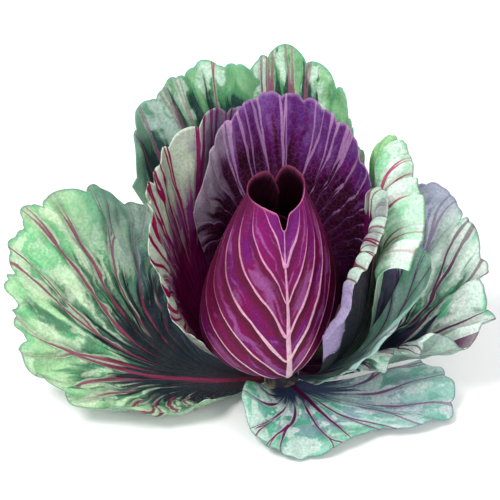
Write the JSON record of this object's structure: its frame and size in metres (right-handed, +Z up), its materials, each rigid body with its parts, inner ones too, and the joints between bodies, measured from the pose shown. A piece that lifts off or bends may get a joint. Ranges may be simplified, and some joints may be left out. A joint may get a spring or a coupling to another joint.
{
  "type": "red cabbage",
  "caption": "Red cabbage cut at the stalk, a purple egg-shaped head cupped by violet leaves and open blue-green wrapper leaves with crimson veins and waved margins.",
  "frame": {"origin": "centre of the stalk's cut face, which lies on the surface the cabbage rests on", "axes": "+Z up along the stalk; -Y the side shown as the front; +X to the right seen from the front, along the widest spread of the leaves"},
  "size_m": [0.4508, 0.2804, 0.2694],
  "materials": {
    "stalk": "matte",
    "core_leaf_a": "satin",
    "core_leaf_b": "satin",
    "core_leaf_c": "satin",
    "heart_leaf": "satin",
    "back_cup_leaf": "satin",
    "left_cup_leaf": "satin",
    "right_cup_leaf": "satin",
    "right_upper_leaf": "satin",
    "back_leaf": "satin",
    "right_lower_leaf": "satin",
    "far_right_leaf": "satin",
    "front_leaf": "satin",
    "left_outer_leaf": "satin",
    "back_left_leaf": "satin",
    "back_right_leaf": "satin"
  },
  "bodies": {
    "root": {"cut_stalk": "stalk", "core_leaf_a": "core_leaf_a", "core_leaf_b": "core_leaf_b", "core_leaf_c": "core_leaf_c", "heart_leaf": "heart_leaf", "back_cup_leaf": "back_cup_leaf", "left_cup_leaf": "left_cup_leaf", "right_cup_leaf": "right_cup_leaf", "right_upper_leaf": "right_upper_leaf", "back_leaf": "back_leaf", "right_lower_leaf": "right_lower_leaf", "far_right_leaf": "far_right_leaf", "front_leaf": "front_leaf", "left_outer_leaf": "left_outer_leaf", "back_left_leaf": "back_left_leaf", "back_right_leaf": "back_right_leaf"}
  },
  "joints": []
}
